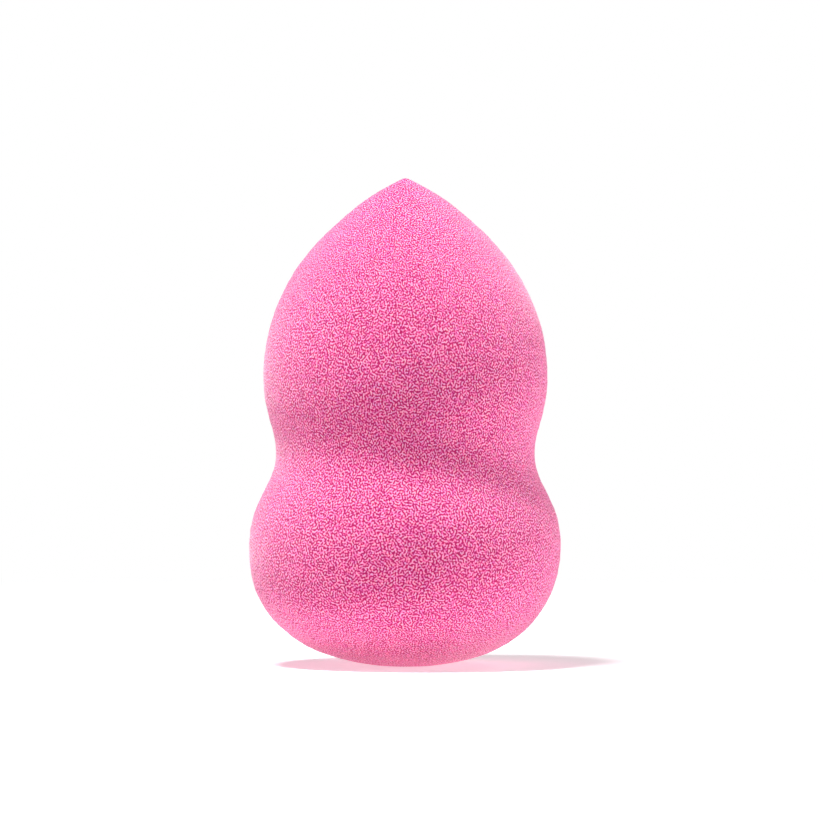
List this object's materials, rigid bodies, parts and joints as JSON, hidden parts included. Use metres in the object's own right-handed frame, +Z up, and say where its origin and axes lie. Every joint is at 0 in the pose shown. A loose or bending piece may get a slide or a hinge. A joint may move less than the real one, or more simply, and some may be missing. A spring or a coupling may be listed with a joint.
{
  "type": "makeup sponge",
  "caption": "Gourd-shaped foam makeup sponge with a wide round bulb, a drawn-in finger waist and a pointed head, for dabbing and blending make-up.",
  "frame": {"origin": "centre of the flat foot, on the surface that the sponge stands on", "axes": "+Z up along the axis of revolution, from the foot to the point; X and Y are alike, because the body is round"},
  "size_m": [0.04, 0.04, 0.0627],
  "materials": {
    "foam": "matte open-cell polyurethane foam, dyed pink through"
  },
  "bodies": {
    "root": {"sponge_body": "foam"}
  },
  "joints": []
}
